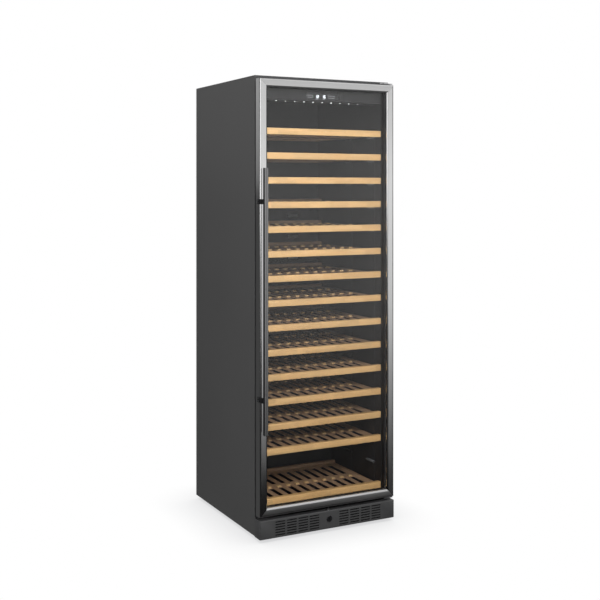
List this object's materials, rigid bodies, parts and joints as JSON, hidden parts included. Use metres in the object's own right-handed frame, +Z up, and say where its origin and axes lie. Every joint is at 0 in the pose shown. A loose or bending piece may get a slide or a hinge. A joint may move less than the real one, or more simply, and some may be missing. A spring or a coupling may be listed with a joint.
{
  "type": "wine cooler",
  "caption": "Tall free-standing wine cooler with a right-hinged framed glass door, bar handle, beech shelves, ventilated plinth with lock, and a rear machine bay.",
  "frame": {"origin": "middle of the bounding box on the floor", "axes": "+Z up, -Y out of the door, +X to the right as seen from the front (the hinge side)"},
  "size_m": [0.595, 0.6822, 1.76],
  "materials": {
    "side_paint": "satin dark grey paint",
    "zinc_sheet": "galvanised sheet",
    "liner_plastic": "fine grained dark plastic",
    "foam": "rigid foam",
    "black_plastic": "matte black",
    "plinth_paint": "satin anthracite paint",
    "lock_black": "black lacquered metal",
    "chrome": "bright plated",
    "hinge_steel": "zinc plated steel",
    "foot_plastic": "hard black plastic",
    "fascia_plastic": "satin dark grey",
    "display_glass": "glossy black window",
    "light_lens": "lit white lens",
    "aluminium": "mill finish",
    "clip_plastic": "light grey plastic",
    "machine_black": "black enamel",
    "brushed_steel": "hollow profile, brushed along each member",
    "tinted_glass": "dark tinted double glazing",
    "spacer_black": "black spacer",
    "seal_rubber": "soft black magnetic seal",
    "handle_black": "black anodised",
    "beech": "oiled beech"
  },
  "bodies": {
    "cabinet": {"back_panel": "zinc_sheet", "base_tray": "zinc_sheet", "compressor": "machine_black", "condenser": "machine_black", "condenser_fan_frame": "black_plastic", "control_fascia": "fascia_plastic", "control_housing": "black_plastic", "display_panel": "display_glass", "evaporation_pan": "black_plastic", "evaporator": "aluminium", "foam_insulation": "foam", "hinge_bottom": "hinge_steel", "hinge_top": "hinge_steel", "inner_liner": "liner_plastic", "interior_light_bar": "light_lens", "machine_bay_cover": "zinc_sheet", "machine_bay_shell": "zinc_sheet", "mains_cable_gland": "black_plastic", "plinth_grille": "plinth_paint", "rear_air_panel": "liner_plastic", "shelf_support_left": "clip_plastic", "shelf_support_right": "clip_plastic", "side_panel_left": "side_paint", "side_panel_right": "side_paint", "top_panel": "side_paint"},
    "door": {"door_stile_left": "brushed_steel", "door_stile_right": "brushed_steel", "door_rail_top": "brushed_steel", "door_rail_bottom": "brushed_steel", "outer_glass": "tinted_glass", "inner_glass": "tinted_glass", "glass_spacer": "spacer_black", "door_inner_frame": "black_plastic", "door_seal": "seal_rubber", "handle_bar": "handle_black", "handle_bracket_upper": "handle_black", "handle_bracket_lower": "handle_black"},
    "shelf_01": {"shelf_01": "beech"},
    "shelf_02": {"shelf_02": "beech"},
    "shelf_03": {"shelf_03": "beech"},
    "shelf_04": {"shelf_04": "beech"},
    "shelf_05": {"shelf_05": "beech"},
    "shelf_06": {"shelf_06": "beech"},
    "shelf_07": {"shelf_07": "beech"},
    "shelf_08": {"shelf_08": "beech"},
    "shelf_09": {"shelf_09": "beech"},
    "shelf_10": {"shelf_10": "beech"},
    "shelf_11": {"shelf_11": "beech"},
    "shelf_12": {"shelf_12": "beech"},
    "shelf_13": {"shelf_13": "beech"},
    "shelf_14": {"shelf_14": "beech"},
    "shelf_15": {"shelf_15": "beech"},
    "lock_barrel": {"lock_cylinder": "lock_black"},
    "lock_bolt": {"lock_pin": "chrome"},
    "duct_fan": {"duct_fan_rotor": "black_plastic"},
    "condenser_fan": {"condenser_fan_rotor": "black_plastic"},
    "foot_front_left": {"foot_front_left": "foot_plastic"},
    "foot_front_right": {"foot_front_right": "foot_plastic"},
    "foot_rear_left": {"foot_rear_left": "foot_plastic"},
    "foot_rear_right": {"foot_rear_right": "foot_plastic"}
  },
  "joints": [
    {"name": "door_swing", "type": "hinge", "parent": "cabinet", "child": "door", "pos_m": [0.2875, -0.2791, 0.0955], "axis": [0, 0, 1], "range_deg": [0, 115]},
    {"name": "shelf_01_slide", "type": "slide", "parent": "cabinet", "child": "shelf_01", "axis": [0, -1, 0], "range_m": [0, 0.01]},
    {"name": "shelf_02_slide", "type": "slide", "parent": "cabinet", "child": "shelf_02", "axis": [0, -1, 0], "range_m": [0, 0.01]},
    {"name": "shelf_03_slide", "type": "slide", "parent": "cabinet", "child": "shelf_03", "axis": [0, -1, 0], "range_m": [0, 0.01]},
    {"name": "shelf_04_slide", "type": "slide", "parent": "cabinet", "child": "shelf_04", "axis": [0, -1, 0], "range_m": [0, 0.01]},
    {"name": "shelf_05_slide", "type": "slide", "parent": "cabinet", "child": "shelf_05", "axis": [0, -1, 0], "range_m": [0, 0.01]},
    {"name": "shelf_06_slide", "type": "slide", "parent": "cabinet", "child": "shelf_06", "axis": [0, -1, 0], "range_m": [0, 0.01]},
    {"name": "shelf_07_slide", "type": "slide", "parent": "cabinet", "child": "shelf_07", "axis": [0, -1, 0], "range_m": [0, 0.01]},
    {"name": "shelf_08_slide", "type": "slide", "parent": "cabinet", "child": "shelf_08", "axis": [0, -1, 0], "range_m": [0, 0.01]},
    {"name": "shelf_09_slide", "type": "slide", "parent": "cabinet", "child": "shelf_09", "axis": [0, -1, 0], "range_m": [0, 0.01]},
    {"name": "shelf_10_slide", "type": "slide", "parent": "cabinet", "child": "shelf_10", "axis": [0, -1, 0], "range_m": [0, 0.01]},
    {"name": "shelf_11_slide", "type": "slide", "parent": "cabinet", "child": "shelf_11", "axis": [0, -1, 0], "range_m": [0, 0.01]},
    {"name": "shelf_12_slide", "type": "slide", "parent": "cabinet", "child": "shelf_12", "axis": [0, -1, 0], "range_m": [0, 0.01]},
    {"name": "shelf_13_slide", "type": "slide", "parent": "cabinet", "child": "shelf_13", "axis": [0, -1, 0], "range_m": [0, 0.01]},
    {"name": "shelf_14_slide", "type": "slide", "parent": "cabinet", "child": "shelf_14", "axis": [0, -1, 0], "range_m": [0, 0.01]},
    {"name": "shelf_15_slide", "type": "slide", "parent": "cabinet", "child": "shelf_15", "axis": [0, -1, 0], "range_m": [0, 0.01]},
    {"name": "lock_turn", "type": "hinge", "parent": "cabinet", "child": "lock_barrel", "pos_m": [0, -0.2991, 0.051], "axis": [0, 1, 0], "range_deg": [0, 90]},
    {"name": "lock_bolt_slide", "type": "slide", "parent": "cabinet", "child": "lock_bolt", "axis": [0, 0, 1], "range_m": [0, 0.012]},
    {"name": "duct_fan_spin", "type": "hinge", "parent": "cabinet", "child": "duct_fan", "pos_m": [0, 0.2946, 0.659], "axis": [0, 1, 0], "continuous": true},
    {"name": "condenser_fan_spin", "type": "hinge", "parent": "cabinet", "child": "condenser_fan", "pos_m": [-0.055, 0.2661, 0.0843], "axis": [1, 0, 0], "continuous": true},
    {"name": "foot_front_left_turn", "type": "hinge", "parent": "cabinet", "child": "foot_front_left", "pos_m": [-0.2525, -0.1974, 0], "axis": [0, 0, 1], "range_deg": [-360, 360]},
    {"name": "foot_front_right_turn", "type": "hinge", "parent": "cabinet", "child": "foot_front_right", "pos_m": [0.2525, -0.1974, 0], "axis": [0, 0, 1], "range_deg": [-360, 360]},
    {"name": "foot_rear_left_turn", "type": "hinge", "parent": "cabinet", "child": "foot_rear_left", "pos_m": [-0.2525, 0.2861, 0], "axis": [0, 0, 1], "range_deg": [-360, 360]},
    {"name": "foot_rear_right_turn", "type": "hinge", "parent": "cabinet", "child": "foot_rear_right", "pos_m": [0.2525, 0.2861, 0], "axis": [0, 0, 1], "range_deg": [-360, 360]}
  ],
  "couplings": [
    {"joint": "lock_bolt_slide", "follows": "lock_turn", "m_per_rad": 0.007639}
  ]
}
